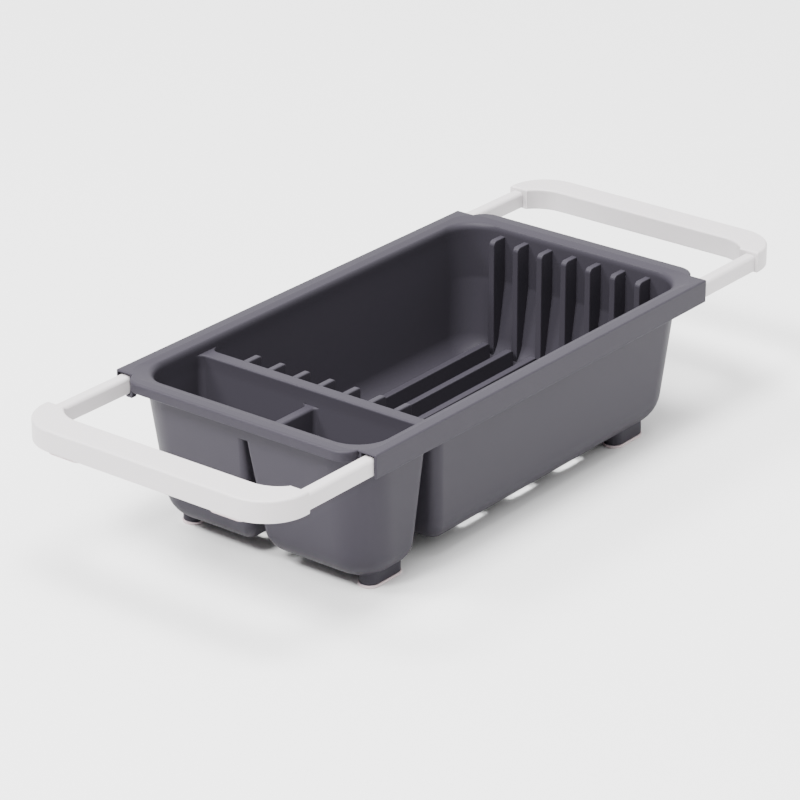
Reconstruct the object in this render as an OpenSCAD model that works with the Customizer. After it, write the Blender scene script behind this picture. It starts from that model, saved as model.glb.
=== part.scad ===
// Expandable over-sink dish drying rack, in millimetres.
// A moulded tub hangs or stands between two U-shaped arms that slide out of
// channels along its long sides. +X runs along the tub from the utensil cups
// to the plate slots, +Y to the far long side, +Z up. The origin lies under
// the middle of the rack, on the surface that the feet stand on.

/* [Rim and channels] */
// Width across the two side channels
overall_w = 240; // [220:1:260]
// Length of each side channel
channel_len = 405; // [380:1:430]
// Height of the rim above the surface
rim_h = 125; // [115:1:140]
// Depth of a channel's skirt below the rim
skirt_h = 18; // [17:0.5:22]
// Length over the two end rims
rim_len = 428; // [424:1:436]
// Depth of the end rim's band below the rim
band_h = 8; // [5:0.5:12]
// Radius of the end rims' corners
rim_r = 15; // [10:1:18]
// Thickness of the rim and its skirts
rim_t = 1.8; // [1.4:0.1:2.2]

/* [Basin and cups] */
// Thickness of the tub's walls
wall_t = 2.2; // [1.8:0.1:2.6]
// Outside length of the tub's body just under the channels
body_len = 406.4; // [404:0.2:408]
// Outside width of the tub's body just under the channels
body_w = 214; // [210:1:214]
// Outside length of the tub's body where its walls meet the base radius
base_len = 384.2; // [378:0.2:388]
// Inside face of the end walls below the rim, from the middle of the rack
mouth_x = 196.6; // [195:0.1:197]
// Radius of the tub's inside corners below the rim
mouth_r = 29; // [24:1:31]
// Outside width of the two end rims
rim_w = 209; // [208:0.5:214]
// Outside width of the tub's body where its walls meet the base radius
base_w = 204; // [198:0.2:208]
// Height of the underside of the floor above the surface
floor_z = 8; // [6:0.5:10]
// Radius of the body's upright outside corners
corner_r = 34; // [30:1:36]
// Radius between the outside walls and the floor
base_r = 25; // [18:1:28]
// Height where the plate end's inside face starts to lean in
bend_z = 78; // [65:1:85]
// Radius of the edges that face the gaps between the cups and the basin
gap_r = 11; // [8:1:14]

/* [Dividers and ribs] */
// Top of the wall between the cups and the basin
divider_z = 115.2; // [108:0.2:120]
// Nearest face of that wall to the cup end
divider_x = -127.2; // [-135:0.2:-120]
// Thickness of that double wall at its top
divider_t = 11; // [9:0.5:14]
// Top of the wall between the two cups
cross_z = 102.7; // [96:0.1:106]
// Half of the gap between the two cups at its top
cross_gap = 1.7; // [0.5:0.1:2.5]
// Number of plate ribs across the basin
rib_count = 7; // [5:2:7]
// Spacing of the plate ribs
rib_pitch = 23.3; // [20:0.1:23.6]
// Thickness of a plate rib
rib_t = 4.8; // [3:0.1:6]
// Front edge of the upright ribs on the end wall
end_rib_x = 182; // [176:0.5:186]
// Top of the upright ribs on the end wall
end_rib_z = 116; // [105:0.5:117]
// How far the ribs on the divider stand out at its top
stub_len = 14; // [8:0.5:18]
// Top of the ribs along the floor
floor_rib_z = 29.7; // [22:0.1:36]
// End of the floor ribs towards the end wall
floor_rib_x = 178; // [170:0.5:181]

/* [Drain slots] */
// Middle of the drain slots nearest the cups, from the middle of the rack
slot_x = -39; // [-50:1:-20]
// Length of a drain slot
slot_len = 28; // [20:1:32]
// Width of a drain slot
slot_w = 7; // [5:0.5:7]
// Spacing of the drain slots along the basin
slot_pitch = 60; // [50:1:62]

/* [Feet] */
// Length of a foot pad
foot_len = 40; // [34:1:42]
// Width of a foot pad
foot_w = 17; // [14:0.5:18]
// Thickness of a foot pad
foot_pad_t = 2.2; // [1.5:0.1:3]
// Middle of the feet under the cups, as a distance from the middle of the rack
foot_x_cups = 152.5; // [148:0.5:156]
// The same for the feet at the plate end
foot_x_plates = 148; // [140:0.5:156]
// Distance of each foot's middle from the middle of the rack, across it
foot_y = 83; // [80:0.5:84]

/* [Arms] */
// Outside face of an end bar from the middle of the rack, at rest
bar_x = 311; // [290:1:345]
// Depth of an end bar along the rack
bar_d = 25.4; // [22:0.2:28]
// Height of an end bar
bar_h = 17.2; // [16.8:0.1:18]
// Length of the socket arms that reach back from the bar
socket_reach = 12; // [10:0.5:14]
// Width of a socket arm at its end
socket_w = 15; // [14.5:0.1:16]
// Radius of the bar's outer corners
bar_outer_r = 34; // [30:1:40]
// Radius of the bar's inner corners
bar_inner_r = 30; // [26:1:34]
// Width of a slide rail
rail_w = 10.3; // [9:0.1:10.4]
// Height of a slide rail
rail_h = 13.2; // [12:0.1:13.4]
// Wall thickness of a slide rail
rail_wall = 1.8; // [1.4:0.1:2.4]
// Inner end of a rail from the middle of the rack, at rest
rail_end = 77; // [77:1:85]
// How far a rail reaches into its socket
rail_in = 10; // [8:0.5:11]
// Distance of a grip pad's middle from the middle of the bar
grip_y = 74.5; // [70:0.5:76]
// Travel from rest to the fully pulled-out stop
pull_out = 40; // [20:1:50]
// Length of a grip pad under an end bar
grip_len = 32; // [26:1:34]
// Width of a grip pad
grip_w = 17; // [12:0.5:18]
// Thickness of a grip pad
grip_t = 2.5; // [1.5:0.1:3]

/* [Hidden] */

TUB_COLOR = "#6b6a73";
ARM_COLOR = "#efefee";
PAD_COLOR = "#ddd0d2";

// The small step that makes one solid run into the next
eps = 0.01;
// Underside of the channels and top of the body's sloping walls
skirt_z = rim_h - skirt_h;
// Outside face of the wall between the body and each channel
inner_wall_y = body_w/2;
// How far each wall of the gap between the cups and the basin leans per millimetre
gap_lean = 0.09;
// The same for the gap between the two cups
cross_lean = 0.046;
// Middle of a rail, across the rack: halfway across its channel
rail_y = (inner_wall_y + overall_w/2 - rim_t)/2;
// Underside of a rail
rail_z = rim_h - 3.1 - rail_h;
// Underside of an end bar
bar_z = rim_h - bar_h;
// Plate rib places across the rack
rib_ys = [for (i = [0 : rib_count - 1]) (i - (rib_count - 1)/2)*rib_pitch];
// Middle of the slots nearest the side walls
slot_y = (rib_count - 1)/2*rib_pitch + rib_t/2 + 0.8 + slot_w/2;
// Places and length of the slots in each cup, which run across the rack
cup_slot_x = -151;
cup_slot_ys = [30, 56];
cup_slot_len = 18;
// Basin face of the divider at its top
basin_x = divider_x + divider_t;
// Running clearance left between a stop and the lug that it meets
stop_gap = 0.4;
// How far the toe on a rail stop hangs below the rail
toe_h = 2.2;
// Length of a lug or toe along the rack
lug_len = 5;
// Socket end of an end bar
tail_x = bar_x - bar_d - socket_reach;

// ---- Plain helpers ----

// Rectangle with round corners, from x0 to x1 and y0 to y1
module round_rect(x0, x1, y0, y1, r) {
    translate([x0 + r, y0]) square([x1 - x0 - 2*r, y1 - y0]);
    translate([x0, y0 + r]) square([x1 - x0, y1 - y0 - 2*r]);
    for (x = [x0 + r, x1 - r], y = [y0 + r, y1 - r])
        translate([x, y]) circle(r = r, $fn = 64);
}

// Slot or pad outline with half-round ends, along X
module stadium(length, width) {
    round_rect(-length/2, length/2, -width/2, width/2, width/2 - eps);
}

// Wall of constant thickness standing on a round-cornered outline
module ring_wall(x, y, r, t, h) {
    linear_extrude(h) difference() {
        round_rect(-x, x, -y, y, r);
        round_rect(-x + t, x - t, -y + t, y - t, r - t);
    }
}

// Box spanning two corners
module span(low, high) {
    translate(low) cube(high - low);
}

// Copies a shape to the other side of the rack
module both_sides() {
    children();
    mirror([0, 1, 0]) children();
}

// Copies a shape to the other end of the rack
module both_ends() {
    children();
    mirror([1, 0, 0]) children();
}

// ---- Tub ----

// Face that leans away from a gap, where it reaches a base edge of radius r
function leaned(face, way, lean, r) = face + way*lean*(skirt_z - floor_z - r);

// Round post at a vessel's upper corner. An open one pokes out of the top,
// so that the inside of a vessel cuts it open.
module corner_post(x, y, z, r, open) {
    translate([x, y, z - 0.1]) cylinder(r = r, h = 0.1 + (open ? eps : 0), $fn = 32);
}

// Ball at a vessel's lower corner
module corner_ball(x, y, r, t) {
    translate([x, y, floor_z + r]) sphere(r = r - t, $fn = 32);
}

// Basin, outside for t = 0 or inside for the wall thickness t. Its inside end
// face is upright above the bend and leans in below it.
module basin_vessel(t) {
    bend_y = body_w/2 - (body_w - base_w)/2*(skirt_z - bend_z)/(skirt_z - floor_z - base_r);
    front_x = basin_x - wall_t;
    end_x = t > 0 ? mouth_x : body_len/2;
    end_r = t > 0 ? mouth_r : corner_r;
    hull() for (s = [-1, 1]) {
        corner_post(end_x - end_r, s*(body_w/2 - t - end_r), skirt_z, end_r, t > 0);
        if (t > 0) corner_post(end_x - end_r, s*(bend_y - t - end_r), bend_z, end_r, false);
        corner_post(front_x + gap_r, s*(body_w/2 - gap_r), skirt_z, gap_r - t, t > 0);
        corner_ball(base_len/2 - base_r, s*(base_w/2 - base_r), base_r, t);
        corner_ball(leaned(front_x, 1, gap_lean, base_r) + base_r, s*(base_w/2 - base_r), base_r, t);
    }
}

// Left cup, outside for t = 0 or inside for the wall thickness t; the right
// one is its mirror image
module cup_vessel(t) {
    end_x = t > 0 ? mouth_x : body_len/2;
    end_r = t > 0 ? mouth_r : corner_r;
    back_x = divider_x + wall_t - gap_r;
    back_low_x = leaned(divider_x + wall_t, -1, gap_lean, gap_r) - gap_r;
    mid_low_y = leaned(cross_gap, 1, cross_lean, gap_r) + gap_r;
    low_end_x = base_len/2 - (body_len - base_len)/2*(base_r - gap_r)/(skirt_z - floor_z - base_r);
    hull() {
        // Towards the end of the rack and the side wall
        corner_post(end_r - end_x, body_w/2 - t - end_r, skirt_z, end_r, t > 0);
        corner_ball(base_r - base_len/2, base_w/2 - base_r, base_r, t);
        // Towards the basin and the side wall
        corner_post(back_x, body_w/2 - gap_r, skirt_z, gap_r - t, t > 0);
        corner_ball(back_low_x, base_w/2 - gap_r - 1, gap_r, t);
        // Towards the end of the rack and the other cup
        corner_post(gap_r - t - end_x, cross_gap + gap_r, skirt_z, gap_r - t, t > 0);
        corner_ball(gap_r - low_end_x, mid_low_y, gap_r, t);
        // Towards the basin and the other cup
        corner_post(back_x, cross_gap + gap_r, skirt_z, gap_r - t, t > 0);
        corner_ball(back_low_x, mid_low_y, gap_r, t);
    }
}

// Plan of the opening inside the rim
module mouth() {
    round_rect(-mouth_x, mouth_x, wall_t - body_w/2, body_w/2 - wall_t, mouth_r);
}

// Rim plate, channel skirts, end bands and the upright wall under the rim
module rim() {
    top_z = rim_h - rim_t;
    outer_y = overall_w/2;
    translate([0, 0, top_z]) linear_extrude(rim_t) difference() {
        union() {
            round_rect(-rim_len/2, rim_len/2, -rim_w/2, rim_w/2, rim_r);
            square([channel_len, overall_w], center = true);
        }
        mouth();
    }
    // Upright wall between the rim and the sloping body
    translate([0, 0, skirt_z - 0.1]) linear_extrude(skirt_h + 0.1 - eps) difference() {
        round_rect(-body_len/2, body_len/2, -body_w/2, body_w/2, corner_r);
        mouth();
    }
    // Bands round the two ends
    translate([0, 0, rim_h - band_h])
        ring_wall(rim_len/2, rim_w/2, rim_r, rim_t, band_h - eps);
    both_sides() {
        // Outer skirt and inner wall of a channel
        span([-channel_len/2, outer_y - rim_t, skirt_z], [channel_len/2, outer_y, rim_h - eps]);
        span([-channel_len/2, inner_wall_y - wall_t, skirt_z], [channel_len/2, inner_wall_y, rim_h - eps]);
    }
}

// Lugs under each channel: a keeper at the mouth holds the rail up, and a
// stop farther in catches the toe on the rail's end
module channel_lugs() {
    both_ends() both_sides()
        for (x = [channel_len/2 - lug_len, rail_end + pull_out + stop_gap])
            span([x, inner_wall_y - wall_t, rail_z - 3], [x + lug_len, inner_wall_y + 4, rail_z - 0.8]);
}

// Short posts that carry the foot pads
module foot_posts() {
    for (x = [-foot_x_cups, foot_x_plates]) both_sides()
        translate([x, foot_y, foot_pad_t])
            linear_extrude(floor_z + base_r/3) stadium(foot_len - 1.4, foot_w - 1.4);
}

// Top of the double wall between the cups and the basin
module divider_top() {
    span([divider_x, -body_w/2 + wall_t/2, divider_z - rim_t],
         [basin_x, body_w/2 - wall_t/2, divider_z]);
    span([divider_x, -body_w/2 + wall_t/2, skirt_z - 2],
         [divider_x + wall_t, body_w/2 - wall_t/2, divider_z]);
    span([basin_x - wall_t, -body_w/2 + wall_t/2, skirt_z - 2],
         [basin_x, body_w/2 - wall_t/2, divider_z]);
}

// Web along the top of the wall between the cups
module cross_web() {
    span([-mouth_x - wall_t/2, -cross_gap - wall_t, cross_z - rim_t],
         [divider_x + wall_t/2, cross_gap + wall_t, cross_z]);
}

// Space above the cross wall, cleared between the cups
module cross_clearance() {
    span([0.4 - mouth_x, -gap_r, cross_z], [divider_x - 0.4, gap_r, rim_h + 1]);
}

// Points along the middle of the wall where it curves into the floor, as
// [x, z] round the curve's centre, for angles from a0 to a1
function floor_curve(centre_x, a0, a1) =
    [for (i = [0 : 6]) let (a = a0 + (a1 - a0)*i/6)
        [centre_x + (base_r - wall_t/2)*cos(a), floor_z + base_r + (base_r - wall_t/2)*sin(a)]];

// Centres of the curves at the plate end and under the divider
plate_curve_x = base_len/2 - base_r;
divider_curve_x = leaned(basin_x - wall_t, 1, gap_lean, base_r) + base_r;
// Where a point at x lies on the plate end's curve, as an angle
function plate_angle(x) = -acos((x - plate_curve_x)/(base_r - wall_t/2));

// One rib's outline in the XZ plane, drawn as a plate across its thickness
module rib_plate(outline, nose_at, nose_r) {
    rotate([90, 0, 0]) linear_extrude(rib_t, center = true) {
        polygon(outline);
        translate(nose_at) circle(r = nose_r, $fn = 48);
    }
}

// One upright rib on the end wall, with a round front corner
module end_rib() {
    nose = 4;
    wall_x = mouth_x + wall_t/2;
    rib_plate([
        each floor_curve(plate_curve_x, plate_angle(end_rib_x), -8),
        [wall_x, bend_z], [wall_x, end_rib_z],
        [end_rib_x + nose, end_rib_z], [end_rib_x, end_rib_z - nose],
    ], [end_rib_x + nose, end_rib_z - nose], nose);
}

// One short rib on the basin side of the divider
module stub_rib() {
    nose = 3;
    face = basin_x - wall_t/2;
    tip = basin_x + stub_len;
    rib_plate([
        [tip, floor_rib_z - 4], [tip, divider_z - nose], [tip - nose, divider_z],
        [face, divider_z], [face, skirt_z],
        each floor_curve(divider_curve_x, 185, 200),
    ], [tip - nose, divider_z - nose], nose);
}

// One rib along the basin's floor
module floor_rib() {
    nose = 3;
    rib_plate([
        each floor_curve(divider_curve_x, 190, 270),
        each floor_curve(plate_curve_x, 270, 360 + plate_angle(floor_rib_x)),
        [floor_rib_x, floor_rib_z - nose], [floor_rib_x - nose, floor_rib_z],
        [divider_curve_x - base_r + wall_t, floor_rib_z],
    ], [floor_rib_x - nose, floor_rib_z - nose], nose);
}

module ribs() {
    for (y = rib_ys) translate([0, y, 0]) {
        end_rib();
        stub_rib();
        floor_rib();
    }
}

// Drain slots: a row by each side wall of the basin, and two in each cup
module drain_slots() {
    both_sides() {
        for (i = [0 : 2])
            translate([slot_x + slot_pitch*i, slot_y, floor_z - 1])
                linear_extrude(8) stadium(slot_len, slot_w);
        for (y = cup_slot_ys)
            translate([cup_slot_x, y, floor_z - 1]) rotate([0, 0, 90])
                linear_extrude(8) stadium(cup_slot_len, slot_w);
    }
}

// The tub: one moulding with the basin, the two cups, the rim and the ribs
module tub() {
    color(TUB_COLOR) difference() {
        union() {
            difference() {
                union() {
                    basin_vessel(0);
                    cup_vessel(0);
                    mirror([0, 1, 0]) cup_vessel(0);
                    foot_posts();
                }
                basin_vessel(wall_t);
                cup_vessel(wall_t);
                mirror([0, 1, 0]) cup_vessel(wall_t);
            }
            rim();
            divider_top();
            cross_web();
            channel_lugs();
            ribs();
        }
        cross_clearance();
        drain_slots();
    }
}

// ---- Foot pads ----

// Soft pad under one foot post
module foot_pad(x, side) {
    color(PAD_COLOR) translate([x, side*foot_y, 0])
        linear_extrude(foot_pad_t) stadium(foot_len, foot_w);
}

module foot_pad_cups_left() { foot_pad(-foot_x_cups, 1); }
module foot_pad_cups_right() { foot_pad(-foot_x_cups, -1); }
module foot_pad_plates_left() { foot_pad(foot_x_plates, 1); }
module foot_pad_plates_right() { foot_pad(foot_x_plates, -1); }

// ---- Arms, drawn at the plate end; the cup end's are turned half round ----

// Section of a slide rail across the rack, grown by g, with rounder top edges
module rail_section(g) {
    w = rail_w/2 + g;
    top_r = 3 + g;
    low_r = 1.2;
    translate([-w, low_r - g]) square([2*w, rail_h + 2*g - low_r - top_r]);
    translate([low_r - w, -g]) square([2*w - 2*low_r, low_r]);
    translate([top_r - w, rail_h + g - top_r]) square([2*w - 2*top_r, top_r]);
    for (s = [-1, 1]) {
        translate([s*(w - low_r), low_r - g]) circle(r = low_r, $fn = 32);
        translate([s*(w - top_r), rail_h + g - top_r]) circle(r = top_r, $fn = 48);
    }
}

// Bar of rail section along the rack from x0 to x1, on the given side
module rail_bar(x0, x1, side, g) {
    translate([x0, side*rail_y, rail_z]) rotate([90, 0, 90])
        linear_extrude(x1 - x0) rail_section(g);
}

// Hollow slide rail from its inner end into the bar's socket
module rail(side) {
    color(ARM_COLOR) difference() {
        rail_bar(rail_end, tail_x + rail_in, side, 0);
        rail_bar(rail_end - 1, tail_x + rail_in + 1, side, -rail_wall);
    }
}

// Plug in the rail's inner end, with a toe that meets the channel's stop lug
module rail_stop(side) {
    flange = 4;
    plug = 12;
    color(ARM_COLOR) {
        rail_bar(rail_end - flange, rail_end, side, 0);
        rail_bar(rail_end - eps, rail_end + plug, side, -rail_wall);
        span([rail_end - flange, side*rail_y - rail_w/2 + 1, rail_z - toe_h],
             [rail_end, side*rail_y + rail_w/2 - 1, rail_z + 1]);
    }
}

// Plan of an end bar: a U with round corners and two short socket arms
module bar_plan() {
    y = overall_w/2;
    inner_x = bar_x - bar_d;
    inner_y = y - socket_w + 5;
    difference() {
        round_rect(tail_x - 2*bar_outer_r, bar_x, -y, y, bar_outer_r);
        round_rect(tail_x - 3*bar_outer_r, inner_x, -inner_y, inner_y, bar_inner_r);
        translate([tail_x - 4*bar_outer_r, -y - 1]) square([4*bar_outer_r, 2*y + 2]);
    }
}

module bar() {
    color(ARM_COLOR) difference() {
        translate([0, 0, bar_z]) linear_extrude(bar_h) bar_plan();
        for (side = [-1, 1]) rail_bar(tail_x - 1, tail_x + rail_in, side, 0);
    }
}

// Soft pad under one corner of an end bar
module grip_pad(side) {
    x = bar_x - 2.5 - grip_w;
    y = side*grip_y - grip_len/2;
    color(PAD_COLOR) translate([0, 0, bar_z - grip_t])
        linear_extrude(grip_t) round_rect(x, x + grip_w, y, y + grip_len, 6);
}

// Arms at the cup end: the same pieces turned half round about the middle
module turned() {
    rotate([0, 0, 180]) children();
}

module plate_end_bar() { bar(); }
module plate_end_rail_left() { rail(1); }
module plate_end_rail_right() { rail(-1); }
module plate_end_rail_stop_left() { rail_stop(1); }
module plate_end_rail_stop_right() { rail_stop(-1); }
module plate_end_grip_pad_left() { grip_pad(1); }
module plate_end_grip_pad_right() { grip_pad(-1); }

module cup_end_bar() { turned() bar(); }
module cup_end_rail_left() { turned() rail(-1); }
module cup_end_rail_right() { turned() rail(1); }
module cup_end_rail_stop_left() { turned() rail_stop(-1); }
module cup_end_rail_stop_right() { turned() rail_stop(1); }
module cup_end_grip_pad_left() { turned() grip_pad(-1); }
module cup_end_grip_pad_right() { turned() grip_pad(1); }

tub();
foot_pad_cups_left();
foot_pad_cups_right();
foot_pad_plates_left();
foot_pad_plates_right();
cup_end_bar();
cup_end_rail_left();
cup_end_rail_right();
cup_end_rail_stop_left();
cup_end_rail_stop_right();
cup_end_grip_pad_left();
cup_end_grip_pad_right();
plate_end_bar();
plate_end_rail_left();
plate_end_rail_right();
plate_end_rail_stop_left();
plate_end_rail_stop_right();
plate_end_grip_pad_left();
plate_end_grip_pad_right();
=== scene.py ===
"""Looks of the expandable dish drying rack: detailed meshes, materials, light and camera.

Sizes are in millimetres until a mesh is made; the studio and the camera are in metres. The frame is the
CAD's: +X from the cutlery cups to the plate ribs, +Y to the far long side, +Z up, and the origin on the
floor under the middle of the rack.
"""
import math

import bmesh
import bpy
import numpy as np
from mathutils import Matrix, Vector


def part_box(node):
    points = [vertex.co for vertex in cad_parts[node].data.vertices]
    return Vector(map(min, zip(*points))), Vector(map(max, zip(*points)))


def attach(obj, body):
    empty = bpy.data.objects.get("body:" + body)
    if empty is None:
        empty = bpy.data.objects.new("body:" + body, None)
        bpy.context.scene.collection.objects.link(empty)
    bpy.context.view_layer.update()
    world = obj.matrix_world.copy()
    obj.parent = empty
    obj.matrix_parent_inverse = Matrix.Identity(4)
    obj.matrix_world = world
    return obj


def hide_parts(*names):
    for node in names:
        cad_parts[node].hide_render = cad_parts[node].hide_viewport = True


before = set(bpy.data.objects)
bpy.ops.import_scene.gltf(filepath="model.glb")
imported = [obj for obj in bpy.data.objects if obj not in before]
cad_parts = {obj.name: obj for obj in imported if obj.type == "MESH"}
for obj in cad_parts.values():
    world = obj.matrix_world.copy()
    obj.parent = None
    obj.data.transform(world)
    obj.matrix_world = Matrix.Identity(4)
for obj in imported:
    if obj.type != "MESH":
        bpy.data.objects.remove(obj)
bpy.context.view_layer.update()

MM = 0.001

# ---- Sizes read from the frame ----


def node_box(name):
    """A CAD node's lowest and highest corner at rest, in millimetres."""
    low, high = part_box(name)
    return np.array(low) / MM, np.array(high) / MM


TUB_LOW, TUB_HIGH = node_box("tub")
BAR_LOW, BAR_HIGH = node_box("plate_end_bar")
RAIL_LOW, RAIL_HIGH = node_box("plate_end_rail_left")
STOP_LOW, STOP_HIGH = node_box("plate_end_rail_stop_left")
GRIP_LOW, GRIP_HIGH = node_box("plate_end_grip_pad_left")

RIM_X, RIM_Y, RIM_Z = TUB_HIGH

# ---- Sizes of the tub ----

# Rim plate, the channels' skirts under its long sides, and the bands round its ends. The plate's upper
# edge is softer along the sides, and softer still round the bands
PLATE_T = 1.8
CHANNEL_X = 202.5
SKIRT_Z = RIM_Z - 18
SKIRT_T = 1.8
BAND_Z = RIM_Z - 8
BAND_Y = 104.5
BAND_R = 15
RIM_SOFT = 1.2
SIDE_SOFT = 1.3
BAND_SOFTER = 1.0

# Lugs inside the channels
LUG_LENGTH = 5
LUG_REACH = 111
LUG_LOW_Z = 105.7
LUG_HIGH_Z = 107.9
STOP_LUG_X = 117.4

# Base
WALL = 2.2
FLOOR_Z = 8
FILLET_R = 25
CUP_FILLET_R = 20
POST_SHY = 0.7

# Outer faces at the height of the skirts' lower edge, and how far they lean in per millimetre below it
END_X = 203.2
END_LEAN = 0.165
SIDE_Y = 107
SIDE_LEAN = 0.0677
CORNER_R = 34

# Inside faces at the mouth. The plate end's is upright down to the bend
MOUTH_X = 196.6
MOUTH_Y = SIDE_Y - WALL
MOUTH_R = 29
BEND_Z = 78
BEND_SOFT = 1.5

# The upright corners' radius at the floor, as a share of the radius at the skirts
BASE_CORNER = 0.82

# Lip, from the mouth's walls out to its edge in the rim's flat top
PLATE_LIP_X = 204.8
CUP_LIP_X = 207
LIP_Y = 113.5
LIP_R = 18
LIP_CORNER_R = 22
LIP_BOW = 1.2
LIP_DROP = 7
LIP_BEVEL = 1.5
# How far out the lip's lower curve goes, as a share of the lip's width, and then the bevel: pairs of the
# same share and of the part of the bevel's height that is still above
LIP_KNEE = 0.32
LIP_BEVEL_COURSE = ((0.65, 0.42), (0.82, 0.16), (0.92, 0.04), (1, 0))

# Divider between the basin and the cups, and the gap under it
DIVIDER_Z = 115.2
DIVIDER_BACK = -116.2
DIVIDER_FRONT = -127.2
DIVIDER_ROLL = 1.6
GAP_LEAN = 0.09
GAP_TOP = 103
BASIN_FRONT_R = 7
BASIN_FRONT_OUTER_R = 9
CUP_R = 5
CUP_OUTER_R = 9

# Wall between the cups, and the gap inside it, whose corners are tightest under the web
CROSS_Z = 102.7
CROSS_HALF = 4.0
CROSS_ROLL = 2.0
CROSS_LEAN = 0.046
CROSS_R = 3.5
CROSS_GAP_R = 3.4
CROSS_GAP_GROWTH = 0.06
CROSS_GAP_MOST_R = 7
WEB_T = 2.1
WEB_XS = (-198, -126)

# How the upright corners tighten where the floor curves in: the share of the inset, and the least radius
END_EASE = (1, 2)
FRONT_EASE = (0.2, 3)
GAP_EASE = (0.3, 3)
CROSS_EASE = (0.1, 1)

# Heights of the sections up a vessel's walls, as far as they are below its top
WALL_HEIGHTS = (50, 64, BEND_Z - BEND_SOFT, BEND_Z, BEND_Z + BEND_SOFT, 92, SKIRT_Z)

# Ribs on the plate end, on the divider (the stubs) and on the floor. The root is in the plate end's wall
RIB_COUNT = 7
RIB_PITCH = 23.3
RIB_TOP_T = 5.0
RIB_BASE_T = 6.0
RIB_SHIFT = 0.4
RIB_SOFT = 0.7
RIB_ROOT = 2.0
END_RIB_X = 182
END_RIB_Z = 116.5
END_RIB_NOSE = 4
STUB_X = -101.4
STUB_NOSE = 2.6
STUB_SOFT = 1.0
FLOOR_RIB_Z = 31.4
FLOOR_RIB_X = 178
FLOOR_RIB_NOSE = 3

# Drain slots
SLOT_XS = (-39, 21, 81)
SLOT_Y = 76.7
CUP_SLOT_X = -151
CUP_SLOT_YS = (30, 56)
SLOT_LENGTH = 28
CUP_SLOT_LENGTH = 18
SLOT_WIDTH = 7
SLOT_SOFT = 0.8

# ---- Sizes of the arms and the pads ----

BAR_LOW_SOFT = 1.2
BAR_HIGH_SOFT = 1.9
SOCKET_PLAY = 0.05
RAIL_WALL = 1.8
RAIL_LOW_R = 1.2
RAIL_HIGH_R = 3
RAIL_SOFT = 0.4
STOP_SOFT = 0.5
PLUG_SOFT = 0.6
TOE_MARGIN = 1
GRIP_PAD_R = 6
GRIP_PAD_SOFT = 0.8
FOOT_PAD_SOFT = 0.5
PAD_TOP_SOFT = 0.2

# ---- Distances that keep the solids clean ----

# How far joined solids reach into each other, and cuts reach past what they cut
OVERLAP = 1
# Gaps that keep two points or two faces from falling together
HAIR = 0.05
TINY = 0.02

# ---- Mesh helpers ----


class Shape:
    """Collects closed solids, in millimetres, and makes one mesh object of them."""

    def __init__(self):
        self.verts = []
        self.faces = []

    def loft(self, rings):
        """Skin through rings of equal length, closed by a flat face at each end."""
        start = len(self.verts)
        count = len(rings[0])
        for ring in rings:
            self.verts.extend(np.asarray(ring, float).tolist())
        for i in range(len(rings) - 1):
            a = start + i * count
            b = a + count
            for j in range(count):
                k = (j + 1) % count
                self.faces.append((a + j, a + k, b + k, b + j))
        self.faces.append(tuple(start + j for j in reversed(range(count))))
        last = start + (len(rings) - 1) * count
        self.faces.append(tuple(last + j for j in range(count)))

    def mirrored(self, axis):
        """Adds the mirror image of everything so far across the plane of that axis."""
        start = len(self.verts)
        for v in list(self.verts):
            flipped = list(v)
            flipped[axis] = -flipped[axis]
            self.verts.append(flipped)
        self.faces.extend([tuple(start + i for i in reversed(f)) for f in self.faces])
        return self

    def make(self, name):
        """The finished object, with its faces looking out."""
        mesh = bpy.data.meshes.new(name)
        mesh.from_pydata([tuple(c * MM for c in v) for v in self.verts], [], self.faces)
        bm = bmesh.new()
        bm.from_mesh(mesh)
        bmesh.ops.remove_doubles(bm, verts=bm.verts, dist=1e-7)
        bmesh.ops.triangulate(bm, faces=[f for f in bm.faces if len(f.verts) > 4])
        bmesh.ops.recalc_face_normals(bm, faces=bm.faces)
        bm.to_mesh(mesh)
        bm.free()
        obj = bpy.data.objects.new(name, mesh)
        bpy.context.scene.collection.objects.link(obj)
        return obj


def combine(target, other, operation):
    """Applies one Boolean operation to the target and removes the other object."""
    modifier = target.modifiers.new("cut", "BOOLEAN")
    modifier.operation = operation
    modifier.solver = "MANIFOLD"
    modifier.object = other
    graph = bpy.context.evaluated_depsgraph_get()
    mesh = bpy.data.meshes.new_from_object(target.evaluated_get(graph))
    if len(mesh.vertices) in (0, len(target.data.vertices)):
        raise RuntimeError(f"{operation} of {other.name} changed nothing")
    target.modifiers.clear()
    target.data = mesh
    bpy.data.objects.remove(other)


def finish_piece(obj, material, body, nodes, sharp=32.0):
    """Smooth shading with crisp edges over that angle, a material, and its place in the object."""
    mesh = obj.data
    mesh.materials.clear()
    mesh.materials.append(material)
    for polygon in mesh.polygons:
        polygon.material_index = 0
    mesh.shade_smooth()
    mesh.set_sharp_from_angle(angle=math.radians(sharp))
    weigh = obj.modifiers.new("weigh", "WEIGHTED_NORMAL")
    weigh.keep_sharp = True
    weigh.weight = 80
    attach(obj, body)
    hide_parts(*nodes)


def arc(cx, cy, r, a0, a1, steps):
    """Points on an arc, angles in degrees, both ends included."""
    angles = np.radians(np.linspace(a0, a1, steps + 1))
    return np.stack([cx + r * np.cos(angles), cy + r * np.sin(angles)], 1)


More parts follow.
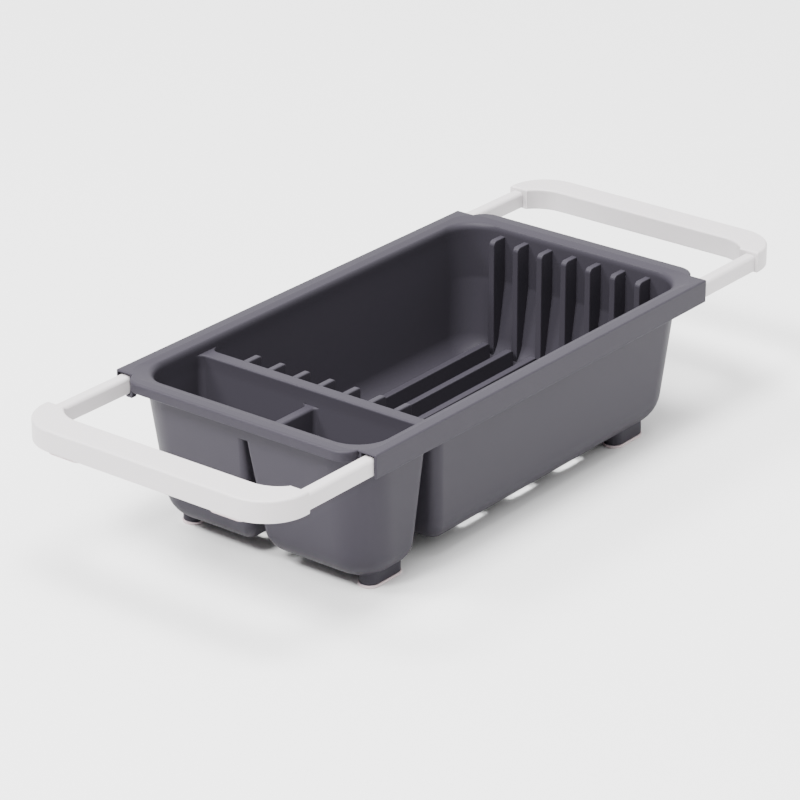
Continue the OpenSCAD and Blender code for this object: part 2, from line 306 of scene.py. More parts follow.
def rounded_rect(x0, x1, y0, y1, radii, arc_steps=14, side_steps=6):
    """Ring of points round a rectangle, and their outward normals. The radii belong to the corners
    (x1, y0), (x1, y1), (x0, y1) and (x0, y0)."""
    if np.isscalar(radii):
        radii = (radii,) * 4
    corners = ((x1, y0, 1, -1, -90), (x1, y1, 1, 1, 0), (x0, y1, -1, 1, 90), (x0, y0, -1, -1, 180))
    points, normals = [], []
    for (x, y, sx, sy, a0), r in zip(corners, radii):
        angles = np.radians(np.linspace(a0, a0 + 90, arc_steps + 1))
        n = np.stack([np.cos(angles), np.sin(angles)], 1)
        points.append(np.array([x - sx * r, y - sy * r]) + r * n)
        normals.append(n)
    ring, ring_normals = [], []
    for i in range(4):
        ring.append(points[i])
        ring_normals.append(normals[i])
        a, b = points[i][-1], points[(i + 1) % 4][0]
        t = np.linspace(0, 1, side_steps + 2)[1:-1, None]
        ring.append(a + (b - a) * t)
        ring_normals.append(np.repeat(normals[i][-1:], side_steps, 0))
    return np.concatenate(ring), np.concatenate(ring_normals)


def upright(points, z):
    """Plan points lifted to a height, one value or one for each point."""
    return np.column_stack([points, np.broadcast_to(z, len(points))])


def outline_normals(points):
    """Outward normals of a counter-clockwise outline, scaled so that an offset keeps its distance."""
    edges = np.roll(points, -1, 0) - points
    n = np.stack([edges[:, 1], -edges[:, 0]], 1)
    n /= np.linalg.norm(n, axis=1)[:, None]
    mean = n + np.roll(n, 1, 0)
    mean /= np.linalg.norm(mean, axis=1)[:, None]
    return mean / np.clip((mean * n).sum(1), 0.5, 1)[:, None]


def quarter_turns(steps, up):
    """Pairs (sine, cosine) from 0 to 90 degrees, or back down."""
    angles = np.radians(np.linspace(0, 90, steps + 1))
    if not up:
        angles = angles[::-1]
    return [(math.sin(a), math.cos(a)) for a in angles]


def soft_prism(shape, outline, low, high, low_r, high_r, steps=4):
    """Upright prism on a counter-clockwise outline, with rounded lower and upper edges."""
    normals = outline_normals(outline)
    rings = [upright(outline - normals * low_r * (1 - s), low + low_r * (1 - c))
             for s, c in quarter_turns(steps, True)]
    rings += [upright(outline - normals * high_r * (1 - s), high - high_r * (1 - c))
              for s, c in quarter_turns(steps, False)]
    shape.loft(rings)


# ---- The tub's walls, as functions of height ----


def end_outer(z):
    """Outside of either end, as a distance from the middle of the rack."""
    return END_X - END_LEAN * (SKIRT_Z - z)


def side_outer(z):
    """Outside of either long side, as a distance from the middle."""
    return SIDE_Y - SIDE_LEAN * max(SKIRT_Z - z, 0)


def side_inner(z):
    """Inside of either long side, as a distance from the middle."""
    return side_outer(z) - WALL


BASE_INNER = end_outer(FLOOR_Z) - WALL


def plate_inner(z):
    """Inside of the plate end: upright above the bend, leaning in below it."""
    if z >= BEND_Z:
        return MOUTH_X
    return MOUTH_X - (MOUTH_X - BASE_INNER) * (BEND_Z - z) / (BEND_Z - FLOOR_Z)


def cup_inner(z):
    """Inside of the cup end, as a distance from the middle of the rack."""
    return MOUTH_X - (MOUTH_X - BASE_INNER) * max(SKIRT_Z - z, 0) / (SKIRT_Z - FLOOR_Z)


def basin_front(z):
    """Inside face of the basin's wall under the divider."""
    return DIVIDER_BACK + GAP_LEAN * max(SKIRT_Z - z, 0)


def cup_back(z):
    """Inside face of the cups' wall under the divider."""
    return DIVIDER_FRONT - GAP_LEAN * max(SKIRT_Z - z, 0)


def cross_inner(z):
    """Inside face of the wall between the cups, as a distance from the middle."""
    return CROSS_HALF + CROSS_LEAN * max(CROSS_Z - z, 0)


def cross_outer_radius(z):
    """Radius of the cups' outer corners at the gap between them, tightest at the gap's top."""
    return min(CROSS_GAP_R + CROSS_GAP_GROWTH * max(GAP_TOP - z, 0), CROSS_GAP_MOST_R)


def shrunk(radius, z):
    """Radius of an upright corner, a little smaller towards the floor."""
    return radius * (BASE_CORNER + (1 - BASE_CORNER) * min(z / SKIRT_Z, 1))


def eased(radius, inset, share, least):
    """Radius of an upright corner where the section is drawn in by inset."""
    return max(radius - share * inset, least)


def basin_ring(z, inset, outside):
    """Section of the basin at a height, drawn in by inset."""
    if outside:
        x0, x1, y = basin_front(z) - WALL, end_outer(z), side_outer(z)
        end_r, front_r = shrunk(CORNER_R, z), BASIN_FRONT_OUTER_R
    else:
        x0, x1, y = basin_front(z), plate_inner(z), side_inner(z)
        end_r, front_r = shrunk(MOUTH_R, z), BASIN_FRONT_R
    end_r, front_r = eased(end_r, inset, *END_EASE), eased(front_r, inset, *FRONT_EASE)
    return rounded_rect(x0 + inset, x1 - inset, inset - y, y - inset, (end_r, end_r, front_r, front_r))


def cup_ring(z, inset, outside):
    """Section of the left cup at a height, drawn in by inset."""
    if outside:
        x0, x1 = -end_outer(z), cup_back(z) + WALL
        y0, y1 = cross_inner(z) - WALL, side_outer(z)
        end_r, gap_r, cross_r = shrunk(CORNER_R, z), CUP_OUTER_R, cross_outer_radius(z)
    else:
        x0, x1 = -cup_inner(z), cup_back(z)
        y0, y1 = cross_inner(z), side_inner(z)
        end_r, gap_r, cross_r = shrunk(MOUTH_R, z), CUP_R, CROSS_R
    end_r = eased(end_r, inset, *END_EASE)
    gap_r, cross_r = eased(gap_r, inset, *GAP_EASE), eased(cross_r, inset, *CROSS_EASE)
    return rounded_rect(x0 + inset, x1 - inset, y0 + inset, y1 - inset, (cross_r, gap_r, end_r, cross_r))


def upper_cup_ring(z):
    """Section of the space over both cups, between the cross wall's top and the divider's."""
    y = side_inner(z)
    return rounded_rect(-cup_inner(z), cup_back(z), -y, y, (CUP_R, CUP_R, MOUTH_R, MOUTH_R))


def vessel_rings(section, top, outside, roll=0.0, weigh=None):
    """Rings up a vessel with a curved base. With a roll, the top edge opens out by that much, times what
    weigh gives for each point's normal."""
    base = FLOOR_Z if outside else FLOOR_Z + WALL
    radius = CUP_FILLET_R if section is cup_ring else FILLET_R
    if not outside:
        radius -= WALL
    rings = sorted(((base + radius * (1 - s), radius * (1 - c)) for s, c in quarter_turns(10, True)),
                   key=lambda pair: pair[0])
    straight_top = top - roll
    rings += [(z, 0) for z in WALL_HEIGHTS if z < straight_top - 1]
    result = [upright(section(z, inset, outside)[0], z) for z, inset in rings]
    if not roll:
        result.append(upright(section(top, 0, outside)[0], top))
        return result
    for s, c in quarter_turns(6, True):
        z = straight_top + roll * s
        points, normals = section(z, 0, outside)
        result.append(upright(points + normals * (weigh(normals) * roll * (1 - c))[:, None], z))
    return result


def poke(rings, rise=0.5, inset=TINY):
    """Carries a hollow's last ring a little up into the hollow above, just inside its walls."""
    last = rings[-1]
    normals = outline_normals(last[:, :2])
    rings.append(upright(last[:, :2] - normals * inset, last[:, 2] + rise))
    return rings


# ---- Tub, outside ----


def rim_quarter():
    """A quarter of the rim's outline, from the middle of a long side to the middle of an end. Rows hold
    x, y, the height of the lower edge, the radius of the upper edge, and x and y of the inside face."""
    under = RIM_Z - PLATE_T
    soft = RIM_SOFT
    inner_y = RIM_Y - SKIRT_T
    # Along the channel's skirt and round the corner at its mouth
    side_end = CHANNEL_X - 12
    rows = [(x, RIM_Y, SKIRT_Z, SIDE_SOFT, x, inner_y) for x in np.linspace(0, side_end, 11)]
    rows.append((CHANNEL_X - soft, RIM_Y, SKIRT_Z, soft, CHANNEL_X - soft, inner_y))
    rows += [(x, y, SKIRT_Z, soft, x, inner_y)
             for x, y in arc(CHANNEL_X - soft, RIM_Y - soft, soft, 90, 0, 5)[1:]]
    rows.append((CHANNEL_X, inner_y, SKIRT_Z, soft, CHANNEL_X - TINY / 2, inner_y - TINY / 2))
    # Across the end of the channel, where the bare plate runs to the band's corner
    centre_x, centre_y = RIM_X - BAND_R, BAND_Y - BAND_R
    start = math.degrees(math.acos((CHANNEL_X - centre_x) / BAND_R))
    turn_y = centre_y + BAND_R * math.sin(math.radians(start))
    plate_in = 0.3
    for y in np.linspace(inner_y - TINY, turn_y + TINY, 4):
        rows.append((CHANNEL_X, y, under, soft, CHANNEL_X - plate_in, y))
    # Round the band's corner, where the upper edge grows softer over a few steps, and along the end
    soften_steps = 6
    for i, (x, y) in enumerate(arc(centre_x, centre_y, BAND_R, start, 0, 14)):
        ix, iy = np.array([x, y]) - SKIRT_T * (np.array([x, y]) - (centre_x, centre_y)) / BAND_R
        rows.append((x, y, BAND_Z, soft + BAND_SOFTER * min(i / soften_steps, 1), ix, iy))
    band_soft = soft + BAND_SOFTER
    rows += [(RIM_X, y, BAND_Z, band_soft, RIM_X - SKIRT_T, y) for y in np.linspace(centre_y, 0, 7)[1:]]
    return np.array(rows)


def whole_outline(quarter):
    """Four mirror images of a quarter's rows, counter-clockwise."""
    parts = []
    for sx, sy, step in ((1, -1, 1), (1, 1, -1), (-1, 1, 1), (-1, -1, -1)):
        part = quarter[::step][:-1].copy()
        part[:, [0, 4]] *= sx
        part[:, [1, 5]] *= sy
        parts.append(part)
    return np.concatenate(parts)


def rim_plate():
    """Rim plate with the channels' outer skirts and the bands round the ends."""
    shape = Shape()
    table = whole_outline(rim_quarter())
    plan, low, soft, inner = table[:, :2], table[:, 2], table[:, 3], table[:, 4:6]
    normals = outline_normals(plan)
    edge_in, edge_up = 0.36, 0.4
    rings = [upright(inner, RIM_Z - PLATE_T), upright(inner, low)]
    rings += [upright(plan - normals * edge_in, low), upright(plan, low + edge_up)]
    for s, c in quarter_turns(7, True):
        rings.append(upright(plan - normals * (soft * (1 - c))[:, None], RIM_Z - soft * (1 - s)))
    shape.loft(rings)
    return shape.make("rim_plate")


def upper_body():
    """Solid block under the rim, from the top of the gaps up into the rim plate."""
    shape = Shape()
    rings = []
    # The corners fill out behind the bands, where the lip above them needs more width
    fill_from, fill_to = BAND_Z + 0.3, BAND_Z + 1.2
    for z, corner_r in ((GAP_TOP, CORNER_R), (SKIRT_Z, CORNER_R), (fill_from, CORNER_R),
                        (fill_to, LIP_CORNER_R), (RIM_Z - OVERLAP, LIP_CORNER_R)):
        x, y = end_outer(z), side_outer(z)
        rings.append(upright(rounded_rect(-x, x, -y, y, corner_r, 24)[0], z))
    shape.loft(rings)
    return shape.make("upper_body")


def outside_vessel(section):
    """Outside of the basin or of a cup, reaching up into the block above the gaps."""
    shape = Shape()
    reach = 4
    shape.loft(vessel_rings(section, GAP_TOP + reach, True))
    return shape


def box_shape(shape, low, high, soft=0.4):
    """Box between two corners, with softened edges."""
    outline = rounded_rect(low[0], high[0], low[1], high[1], soft, 2, 1)[0]
    soft_prism(shape, outline, low[2], high[2], soft, soft, steps=2)


def cross_web():
    """Web that closes the top of the gap between the cups, set back from the cups' faces."""
    shape = Shape()
    half_y = CROSS_HALF + OVERLAP
    box_shape(shape, (WEB_XS[0], -half_y, CROSS_Z - WEB_T), (WEB_XS[1], half_y, CROSS_Z + OVERLAP), 0.2)
    return shape.make("cross_web")


def channel_walls():
    """Inner wall of each channel, out to the rim plate's ends."""
    shape = Shape()
    box_shape(shape, (-CHANNEL_X, MOUTH_Y, SKIRT_Z), (CHANNEL_X, SIDE_Y, RIM_Z - OVERLAP))
    return shape.mirrored(1).make("channel_walls")


def channel_lugs():
    """Keeper lug at each channel's mouth and stop lug farther in."""
    shape = Shape()
    inner_y = MOUTH_Y + 0.5
    for x in (CHANNEL_X - LUG_LENGTH, STOP_LUG_X):
        box_shape(shape, (x, inner_y, LUG_LOW_Z), (x + LUG_LENGTH, LUG_REACH, LUG_HIGH_Z), 0.3)
    return shape.mirrored(0).mirrored(1).make("channel_lugs")


def foot_posts():
    """Posts from the pads up into the base, a little narrower than the pads."""
    shape = Shape()
    shy = POST_SHY
    for low, high in (node_box("foot_pad_plates_left"), node_box("foot_pad_cups_left")):
        half_y = (high - low)[1] / 2 - shy
        outline = rounded_rect(low[0] + shy, high[0] - shy, low[1] + shy, high[1] - shy,
                               half_y - HAIR, 16, 4)[0]
        soft_prism(shape, outline, TUB_LOW[2], FLOOR_Z + FILLET_R / 3, 0.5, 0.1)
    return shape.mirrored(1).make("foot_posts")


# ---- Tub, hollows ----


def mouth_hollow():
    """Space inside the rim above the divider's top, opening out in a round lip."""
    shape = Shape()
    # The lip's edge ends a little above the rim, so that the cut through the flat top is crisp
    top = RIM_Z + 0.06

    def ring(t, z):
        """Section at t of the way from the mouth's walls out to the lip's edge."""
        cup_x, plate_x = (MOUTH_X + (lip_x - MOUTH_X) * t for lip_x in (CUP_LIP_X, PLATE_LIP_X))
        y = MOUTH_Y + (LIP_Y - MOUTH_Y) * t
        points = rounded_rect(-cup_x, plate_x, -y, y, MOUTH_R + (LIP_R - MOUTH_R) * t, 24, 15)[0]
        # The long sides of the lip bow a little inwards at the middle
        reach = np.clip(np.abs(points[:, 0]) / (MOUTH_X - LIP_R), 0, 1)
        points[:, 1] -= np.sign(points[:, 1]) * LIP_BOW * t * (1 - reach ** 2)
        return upright(points, z)

    # The wall rolls out below, runs up a gentle bevel and rolls over into the rim's flat top
    rings = [ring(0, DIVIDER_Z)]
    rings += [ring(LIP_KNEE * (1 - c), top - LIP_BEVEL - (LIP_DROP - LIP_BEVEL) * (1 - s))
              for s, c in quarter_turns(8, True)]
    rings += [ring(t, top - LIP_BEVEL * above) for t, above in LIP_BEVEL_COURSE]
    rings.append(ring(1, RIM_Z + 2 * OVERLAP))
    shape.loft(rings)
    return shape.make("mouth_hollow")


def basin_hollow():
    """Space inside the basin up to the divider's top, opening out towards the divider."""
    shape = Shape()
    shape.loft(poke(vessel_rings(basin_ring, DIVIDER_Z, False, DIVIDER_ROLL,
                                 lambda n: np.clip(-n[:, 0], 0, 1))))
    return shape.make("basin_hollow")


def upper_cup_hollow():
    """Space over both cups up to the divider's top, opening out towards the divider."""
    shape = Shape()
    rings = [upright(upper_cup_ring(z)[0], z) for z in (CROSS_Z, SKIRT_Z)]
    for s, c in quarter_turns(6, True):
        z = DIVIDER_Z - DIVIDER_ROLL * (1 - s)
        points, normals = upper_cup_ring(z)
        grow = np.clip(normals[:, 0], 0, 1) * DIVIDER_ROLL * (1 - c)
        rings.append(upright(points + normals * grow[:, None], z))
    shape.loft(poke(rings))
    return shape.make("upper_cup_hollow")


def cup_hollows():
    """Space inside each cup, opening out towards the wall between them."""
    shape = Shape()
    shape.loft(poke(vessel_rings(cup_ring, CROSS_Z, False, CROSS_ROLL, lambda n: np.clip(-n[:, 1], 0, 1))))
    return shape.mirrored(1).make("cup_hollows")


def drain_slots():
    """Slots through the floors, each with a softened upper edge."""
    shape = Shape()
    floor_top = FLOOR_Z + WALL
    half_length, half_width, half_cup_length = SLOT_LENGTH / 2, SLOT_WIDTH / 2, CUP_SLOT_LENGTH / 2
    slots = [(x, SLOT_Y, half_length, half_width) for x in SLOT_XS]
    slots += [(CUP_SLOT_X, y, half_width, half_cup_length) for y in CUP_SLOT_YS]

    def ring(slot, grow, z):
        """Section of a slot, grown all round."""
        x, y, half_x, half_y = slot
        return upright(rounded_rect(x - half_x - grow, x + half_x + grow, y - half_y - grow,
                                    y + half_y + grow, half_width + grow - TINY, 10, 3)[0], z)

    for slot in slots:
        rings = [ring(slot, 0, FLOOR_Z - 2 * OVERLAP)]
        rings += [ring(slot, SLOT_SOFT * (1 - c), floor_top - SLOT_SOFT * (1 - s))
                  for s, c in quarter_turns(4, True)]
        rings.append(ring(slot, SLOT_SOFT, floor_top + 3 * OVERLAP))
        shape.loft(rings)
    return shape.mirrored(1).make("drain_slots")


# ---- Tub, ribs ----


def rib_shape(outline, soft=RIB_SOFT):
    """Ribs of one outline in the XZ plane at every rib place, thinner at the top than at the base."""
    shape = Shape()
    normals = outline_normals(outline)

    def place(points, depth, middle):
        """Outline points at a depth from -1 to 1 across the rib with that middle."""
        t = np.clip((points[:, 1] - FLOOR_Z) / (END_RIB_Z - FLOOR_Z), 0, 1)
        half = (RIB_BASE_T + (RIB_TOP_T - RIB_BASE_T) * t) / 2
        return np.column_stack([points[:, 0], middle - depth * half, points[:, 1]])

    soft_depth = soft / RIB_TOP_T * 2
    for i in range(RIB_COUNT):
        middle = (i - (RIB_COUNT - 1) / 2) * RIB_PITCH + RIB_SHIFT
        rings = []
        for side in (-1, 1):
            for s, c in quarter_turns(4, side < 0):
                depth = side * (1 - (1 - c) * soft_depth)
                rings.append(place(outline - normals * soft * (1 - s), depth, middle))
        shape.loft(rings)
    return shape


def floor_arc(centre_x, a0, a1, steps=14):
    """Arc along the middle of a wall where it curves into the floor."""
    return arc(centre_x, FLOOR_Z + FILLET_R, FILLET_R - WALL / 2, a0, a1, steps)


def end_curve_x():
    """Middle of the curve from the plate end's wall into the floor."""
    return end_outer(FLOOR_Z + FILLET_R) - FILLET_R


def front_curve_x():
    """Middle of the curve from the wall under the divider into the floor."""
    return basin_front(FLOOR_Z + FILLET_R) - WALL + FILLET_R


def face_angle(face_x):
    """Where an upright face meets the plate end's curve, in degrees from straight out."""
    return -math.degrees(math.acos((face_x - end_curve_x()) / (FILLET_R - WALL / 2)))


def end_ribs():
    """Tall ribs on the plate end, each with a round nose."""
    wall_arc_end = -8
    wall_x = MOUTH_X + RIB_ROOT
    nose = END_RIB_NOSE
    outline = np.concatenate([
        floor_arc(end_curve_x(), face_angle(END_RIB_X), wall_arc_end),
        [[wall_x, BEND_Z], [wall_x, END_RIB_Z]],
        arc(END_RIB_X + nose, END_RIB_Z - nose, nose, 90, 180, 8),
        [[END_RIB_X, 80], [END_RIB_X, 50]],
    ])
    return rib_shape(outline).make("end_ribs")


def stub_ribs():
    """Ribs on the divider, from a round nose at its top down to a slant near the floor."""
    nose = STUB_NOSE
    slant_high, slant_mid, slant_low, slant_in = 50, 30, 22, 2
    face = basin_front(SKIRT_Z) - WALL / 2
    low_face = basin_front(slant_high) - WALL / 2
    outline = np.concatenate([
        [[low_face, slant_high], [low_face + slant_in, slant_mid], [STUB_X, slant_low]],
        arc(STUB_X - nose, DIVIDER_Z - nose, nose, 0, 90, 6),
        [[face, DIVIDER_Z]],
    ])
    return rib_shape(outline, STUB_SOFT).make("stub_ribs")


def floor_ribs():
    """Ribs along the floor, from the divider's wall to the plate end's ribs."""
    nose = FLOOR_RIB_NOSE
    outline = np.concatenate([
        floor_arc(front_curve_x(), 190, 270),
        floor_arc(end_curve_x(), 270, 360 + face_angle(FLOOR_RIB_X)),
        arc(FLOOR_RIB_X - nose, FLOOR_RIB_Z - nose, nose, 0, 90, 7),
    ])
    return rib_shape(outline).make("floor_ribs")


def build_tub():
    """The tub: its outside, less its hollows, with the ribs and then the slots."""
    tub = outside_vessel(basin_ring).make("tub_shell")
    for part in (outside_vessel(cup_ring).mirrored(1).make("cups"), upper_body(), cross_web(), rim_plate(),
                 channel_walls(), foot_posts(), channel_lugs()):
        combine(tub, part, "UNION")
    for part in (mouth_hollow(), basin_hollow(), upper_cup_hollow(), cup_hollows()):
        combine(tub, part, "DIFFERENCE")
    for part in (end_ribs(), stub_ribs(), floor_ribs()):
        combine(tub, part, "UNION")
    combine(tub, drain_slots(), "DIFFERENCE")
    return tub


# ---- Arms ----


def bar_edges(outer_r=34, inner_r=30, depth=25.4, arm_width=10):
    """Left half of the bar's plan, as its outer and its inner edge from the middle to the tail."""
    tail, x, y = BAR_LOW[0], BAR_HIGH[0], BAR_HIGH[1]
    inner_x, inner_y = x - depth, y - arm_width
    tail_gap = 0.2
    outer = np.concatenate([
        np.stack([np.full(8, x), np.linspace(0, y - outer_r, 8)], 1)[:-1],
        arc(x - outer_r, y - outer_r, outer_r, 0, 90, 20),
        [[tail, y]],
    ])
    inner = np.concatenate([
        np.stack([np.full(8, inner_x), np.linspace(0, inner_y - inner_r, 8)], 1)[:-1],
        arc(inner_x - inner_r, inner_y - inner_r, inner_r, 0, 90, 20),
    ])
    inner = inner[inner[:, 0] > tail + tail_gap]
    return outer, np.concatenate([inner, [[tail, inner[-1, 1] + TINY]]])


def build_bar():
    """End bar: a U in plan with soft edges, and a socket for each rail."""
    outer, inner = bar_edges()
    plan = np.concatenate([(outer * (1, -1))[::-1], outer[1:], inner[::-1], (inner * (1, -1))[1:]])
    shape = Shape()
    soft_prism(shape, plan, BAR_LOW[2], BAR_HIGH[2], BAR_LOW_SOFT, BAR_HIGH_SOFT, steps=5)
    bar = shape.make("bar")
    # The rails enter blind sockets in the tails
    sockets = Shape()
    socket_ends = (BAR_LOW[0] - OVERLAP, RAIL_HIGH[0] + SOCKET_PLAY)
    sockets.loft([along(rail_profile(SOCKET_PLAY), x) for x in socket_ends])
    combine(bar, sockets.mirrored(1).make("sockets"), "DIFFERENCE")
    return bar


def rail_profile(grow=0.0):
    """Section of a rail across the rack, counter-clockwise seen from the plate end, as [y, z]."""
    (_, y0, z0), (_, y1, z1) = RAIL_LOW, RAIL_HIGH
    low_r, high_r = RAIL_LOW_R + grow, RAIL_HIGH_R + grow
    return rounded_rect(y0 - grow, y1 + grow, z0 - grow, z1 + grow, (low_r, high_r, high_r, low_r), 8, 2)[0]


def along(points, x):
    """Section points placed across the rack at x."""
    return np.column_stack([np.broadcast_to(x, len(points)), points])


def soft_run(x0, x1, soft, grow=0.0):
    """Sections of a rail-shaped length from x0 to x1, with rounded end edges."""
    rings = []
    for end, way in ((x0, 1), (x1, -1)):
        for s, c in quarter_turns(3, way > 0):
            rings.append(along(rail_profile(grow - soft * (1 - s)), end + way * soft * (1 - c)))
    return rings


def build_rail():
    """Hollow slide rail from its inner end into the bar's socket."""
    shape = Shape()
    shape.loft(soft_run(RAIL_LOW[0], RAIL_HIGH[0], RAIL_SOFT))
    rail = shape.make("rail")
    bore = Shape()
    bore_ends = (RAIL_LOW[0] - OVERLAP, RAIL_HIGH[0] + OVERLAP)
    bore.loft([along(rail_profile(-RAIL_WALL), x) for x in bore_ends])
    combine(rail, bore.make("bore"), "DIFFERENCE")
    return rail


def build_stop():
    """Plug in the rail's inner end, with the flange that covers it and the toe that meets the stop lug."""
    shape = Shape()
    flange_end = RAIL_LOW[0]
    shape.loft(soft_run(STOP_LOW[0], flange_end, STOP_SOFT))
    stop = shape.make("rail_stop")
    plug = Shape()
    plug.loft(soft_run(flange_end - PLUG_SOFT, STOP_HIGH[0], PLUG_SOFT, -RAIL_WALL))
    combine(stop, plug.make("plug"), "UNION")
    toe = Shape()
    toe_low = (STOP_LOW[0], RAIL_LOW[1] + TOE_MARGIN, STOP_LOW[2])
    toe_high = (flange_end, RAIL_HIGH[1] - TOE_MARGIN, RAIL_LOW[2] + OVERLAP)
    box_shape(toe, toe_low, toe_high, STOP_SOFT)
    combine(stop, toe.make("toe"), "UNION")
    return stop


# ---- Pads ----


def pad_object(low, high, radius, low_soft):
    """Flat pad with rounded corners and softened edges."""
    shape = Shape()
    outline = rounded_rect(low[0], high[0], low[1], high[1], radius, 14, 4)[0]
    soft_prism(shape, outline, low[2], high[2], low_soft, PAD_TOP_SOFT)
    return shape.make("pad")


# ---- Materials ----

TUB_GREY = (0.0335, 0.0305, 0.0388)
ARM_WHITE = (0.53, 0.503, 0.512)
PAD_BLUSH = (0.62, 0.52, 0.54)
FLOOR_WHITE = (0.80, 0.80, 0.80)
GLOSS_SPREAD = 0.04


def value_node(nodes, kind, **settings):
    """New node, with each setting put on the input of that name or else on the node."""
    node = nodes.new(kind)
    for key, value in settings.items():
        if key in node.inputs:
            node.inputs[key].default_value = value
        else:
            setattr(node, key, value)
    return node


def moulded(name, colour, rough, grain, depth, tint=0.04, specular=0.45, under=0.0):
    """Moulded plastic or rubber: a fine grain in the surface, and slow small changes in tone and gloss.
    grain is how many times the noise repeats in a metre, depth is the grain's depth in metres, and under is
    how much light goes below the surface."""
    material = bpy.data.materials.new(name)
    material.use_nodes = True
    nodes, links = material.node_tree.nodes, material.node_tree.links
    shader = nodes["Principled BSDF"]
    shader.inputs["Base Color"].default_value = (*colour, 1)
    shader.inputs["Specular IOR Level"].default_value = specular
    if under:
        shader.inputs["Subsurface Weight"].default_value = under
        shader.inputs["Subsurface Radius"].default_value = (1.0, 0.9, 0.8)
        shader.inputs["Subsurface Scale"].default_value = 0.002
    place = nodes.new("ShaderNodeTexCoord")

    fine = value_node(nodes, "ShaderNodeTexNoise", Scale=grain, Detail=3.0, Roughness=0.6)
    links.new(place.outputs["Object"], fine.inputs["Vector"])
    broad = value_node(nodes, "ShaderNodeTexNoise", Scale=9.0, Detail=2.0, Roughness=0.5)
    links.new(place.outputs["Object"], broad.inputs["Vector"])

    bump = value_node(nodes, "ShaderNodeBump", Strength=1.0, Distance=depth)
    links.new(fine.outputs["Fac"], bump.inputs["Height"])
    links.new(bump.outputs["Normal"], shader.inputs["Normal"])

    gloss = value_node(nodes, "ShaderNodeMapRange")
    gloss.inputs["To Min"].default_value = rough - GLOSS_SPREAD
    gloss.inputs["To Max"].default_value = rough + GLOSS_SPREAD
    links.new(broad.outputs["Fac"], gloss.inputs["Value"])
    links.new(gloss.outputs["Result"], shader.inputs["Roughness"])

    tone = value_node(nodes, "ShaderNodeMix", data_type="RGBA")
    tone.inputs["A"].default_value = (*[c * (1 - tint) for c in colour], 1)
    tone.inputs["B"].default_value = (*[min(c * (1 + tint), 1) for c in colour], 1)
    links.new(broad.outputs["Fac"], tone.inputs["Factor"])
    links.new(tone.outputs["Result"], shader.inputs["Base Color"])
    return material


def floor_material():
    """Matt white for the studio floor."""
    material = bpy.data.materials.new("studio_floor")
    material.use_nodes = True
    shader = material.node_tree.nodes["Principled BSDF"]
    shader.inputs["Base Color"].default_value = (*FLOOR_WHITE, 1)
    shader.inputs["Roughness"].default_value = 0.7
    shader.inputs["Specular IOR Level"].default_value = 0.15
    return material


# ---- Studio ----

FLOOR_REACH = 12.0

# Soft boxes: name, place, side length and power
SOFT_BOXES = (
    ("overhead", (-0.9, -0.6, 6.0), 2.5, 700),
    ("cup_end", (-3.8, 0.0, 4.5), 1.4, 460),
    ("far_corner", (-3.0, 2.6, 4.2), 1.4, 330),
)

# Glow of the ceiling, and of the walls by the axis and the side that they stand on
CEILING_GLOW = 2.0
WALL_GLOWS = {("X", 1): 1.8, ("Y", -1): 0.15}
# Directions, as parts of a unit vector, between which the ceiling's and a wall's glow come in
CEILING_RANGE = (0.3, 0.8)
WALL_RANGE = (-0.2, 0.6)


def build_floor():
    """Flat pale floor under the rack, far wider than the picture."""
    mesh = bpy.data.meshes.new("studio_floor")
    size = FLOOR_REACH
    mesh.from_pydata([(-size, -size, 0), (size, -size, 0), (size, size, 0), (-size, size, 0)], [],
                     [(0, 1, 2, 3)])
    floor = bpy.data.objects.new("studio_floor", mesh)
    bpy.context.scene.collection.objects.link(floor)
    mesh.materials.append(floor_material())


def area_light(name, place, size, power):
    """Square soft box that faces the rack."""
    data = bpy.data.lights.new(name, "AREA")
    data.size = size
    data.energy = power
    light = bpy.data.objects.new(name, data)
    light.location = place
    light.rotation_mode = "QUATERNION"
    light.rotation_quaternion = (-Vector(place)).to_track_quat("-Z", "Y")
    bpy.context.scene.collection.objects.link(light)


def build_lights():
    """The soft boxes and the white surround."""
    for name, place, size, power in SOFT_BOXES:
        area_light(name, place, size, power)
    build_surroundings()


def build_surroundings():
    """World light of a white studio: a soft ceiling, and below it a glow from each lit wall."""
    world = bpy.data.worlds.new("studio")
    bpy.context.scene.world = world
    world.use_nodes = True
    nodes, links = world.node_tree.nodes, world.node_tree.links
    place = nodes.new("ShaderNodeTexCoord")
    split = nodes.new("ShaderNodeSeparateXYZ")
    links.new(place.outputs["Generated"], split.inputs["Vector"])
    height = split.outputs["Z"]
    start, full = CEILING_RANGE
    total = times(nodes, links, smooth_range(nodes, links, height, start, full), CEILING_GLOW)
    low = smooth_range(nodes, links, height, full, start)
    start, full = WALL_RANGE
    for (axis, sign), glow in WALL_GLOWS.items():
        side = smooth_range(nodes, links, split.outputs[axis], start * sign, full * sign)
        wall = times(nodes, links, times(nodes, links, low, side), glow)
        both = nodes.new("ShaderNodeMath")
        links.new(total, both.inputs[0])
        links.new(wall, both.inputs[1])
        total = both.outputs["Value"]
    links.new(total, nodes["Background"].inputs["Strength"])
    nodes["Background"].inputs["Color"].default_value = (1.0, 1.0, 1.0, 1)


def times(nodes, links, value, factor):
    """Product of a socket and another socket or a number."""
    node = nodes.new("ShaderNodeMath")
    node.operation = "MULTIPLY"
    links.new(value, node.inputs[0])
    if isinstance(factor, (int, float)):
        node.inputs[1].default_value = factor
    else:
        links.new(factor, node.inputs[1])
    return node.outputs["Value"]


def smooth_range(nodes, links, value, start, end):
    """A value's way from start to end as 0 to 1, eased at both ends."""
    node = nodes.new("ShaderNodeMapRange")
    node.interpolation_type = "SMOOTHSTEP"
    node.inputs["From Min"].default_value = start
    node.inputs["From Max"].default_value = end
    links.new(value, node.inputs["Value"])
    return node.outputs["Result"]


# ---- Camera ----

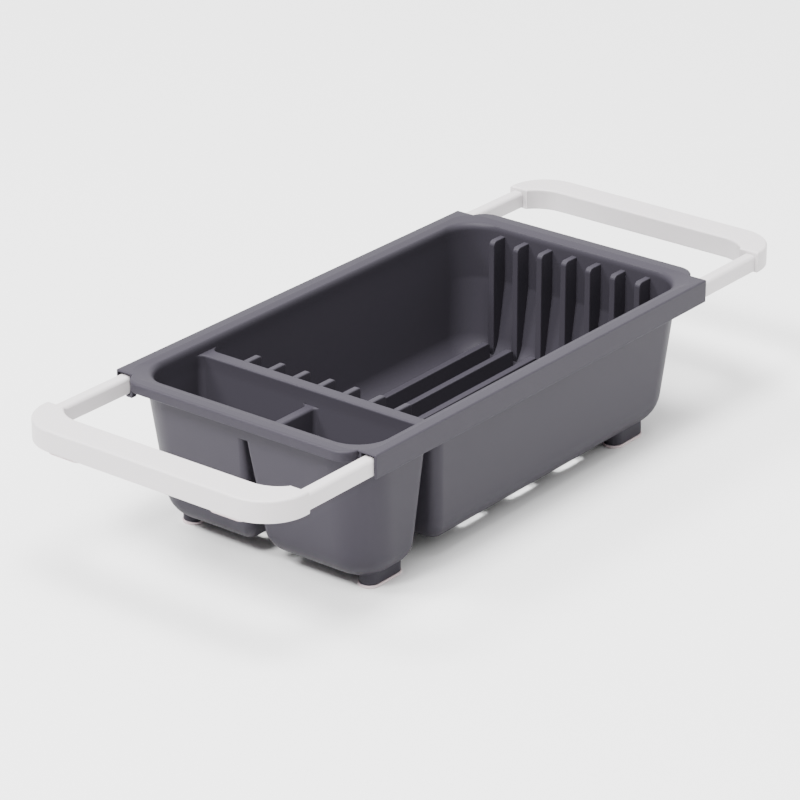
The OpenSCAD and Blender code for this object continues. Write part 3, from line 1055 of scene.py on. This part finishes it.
CAMERA_PLACE = (-1.9214, -1.4979, 1.1517)
# Azimuth, elevation and roll in degrees, and the lens and the sensor's width in millimetres
CAMERA_TURN = (-51.71, 24.09, -0.04)
CAMERA_LENS = 160.2
CAMERA_SENSOR = 36


def build_camera():
    """Camera off the cup end and the near long side, looking down on the rack."""
    azimuth, elevation, roll = (math.radians(angle) for angle in CAMERA_TURN)
    back = Vector((math.sin(azimuth) * math.cos(elevation), -math.cos(azimuth) * math.cos(elevation),
                   math.sin(elevation)))
    right = Vector((0, 0, 1)).cross(back).normalized()
    up = back.cross(right)
    turned_right = right * math.cos(roll) + up * math.sin(roll)
    turned_up = up * math.cos(roll) - right * math.sin(roll)
    data = bpy.data.cameras.new("camera")
    data.lens = CAMERA_LENS
    data.sensor_width = CAMERA_SENSOR
    camera = bpy.data.objects.new("camera", data)
    rotation = Matrix((turned_right, turned_up, back)).transposed()
    camera.matrix_world = Matrix.Translation(CAMERA_PLACE) @ rotation.to_4x4()
    bpy.context.scene.collection.objects.link(camera)
    bpy.context.scene.camera = camera


# ---- Build ----


def build_object():
    """Every piece, with its material, its body and the CAD node that it replaces."""
    tub_material = moulded("tub_plastic", TUB_GREY, rough=0.45, grain=1800, depth=0.00005, specular=0.1)
    arm_material = moulded("arm_plastic", ARM_WHITE, rough=0.42, grain=1500, depth=0.00003, tint=0.015,
                           under=0.1)
    pad_material = moulded("pad_rubber", PAD_BLUSH, rough=0.65, grain=2200, depth=0.00004, tint=0.02,
                           specular=0.3, under=0.2)

    finish_piece(build_tub(), tub_material, "tub_body", ["tub"])

    for end, turn in (("plate_end", False), ("cup_end", True)):
        arm_piece(build_bar(), f"{end}_bar", arm_material, turn, False)
        for side in ("left", "right"):
            mirror = (side == "right") != turn
            arm_piece(build_rail(), f"{end}_rail_{side}", arm_material, turn, mirror)
            arm_piece(build_stop(), f"{end}_rail_stop_{side}", arm_material, turn, mirror)
            pad = pad_object(GRIP_LOW, GRIP_HIGH, GRIP_PAD_R, GRIP_PAD_SOFT)
            arm_piece(pad, f"{end}_grip_pad_{side}", pad_material, turn, mirror)

    for name in [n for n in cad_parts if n.startswith("foot_pad")]:
        low, high = node_box(name)
        pad = pad_object(low, high, (high - low)[1] / 2 - HAIR, FOOT_PAD_SOFT)
        pad.name = "v_" + name
        finish_piece(pad, pad_material, "tub_body", [name])


def arm_piece(obj, node, material, turn, mirror):
    """Places a piece built for the plate end's left side, and gives it its material and body."""
    flip = np.array([-1 if turn else 1, -1 if turn != mirror else 1, 1])
    bm = bmesh.new()
    bm.from_mesh(obj.data)
    for vert in bm.verts:
        vert.co = Vector(flip * vert.co)
    if flip.prod() < 0:
        bmesh.ops.reverse_faces(bm, faces=bm.faces)
    bm.to_mesh(obj.data)
    bm.free()
    obj.name = "v_" + node
    body = node.split("_end_")[0] + "_end_arm"
    finish_piece(obj, material, body, [node])


build_object()
build_floor()
build_lights()
build_camera()
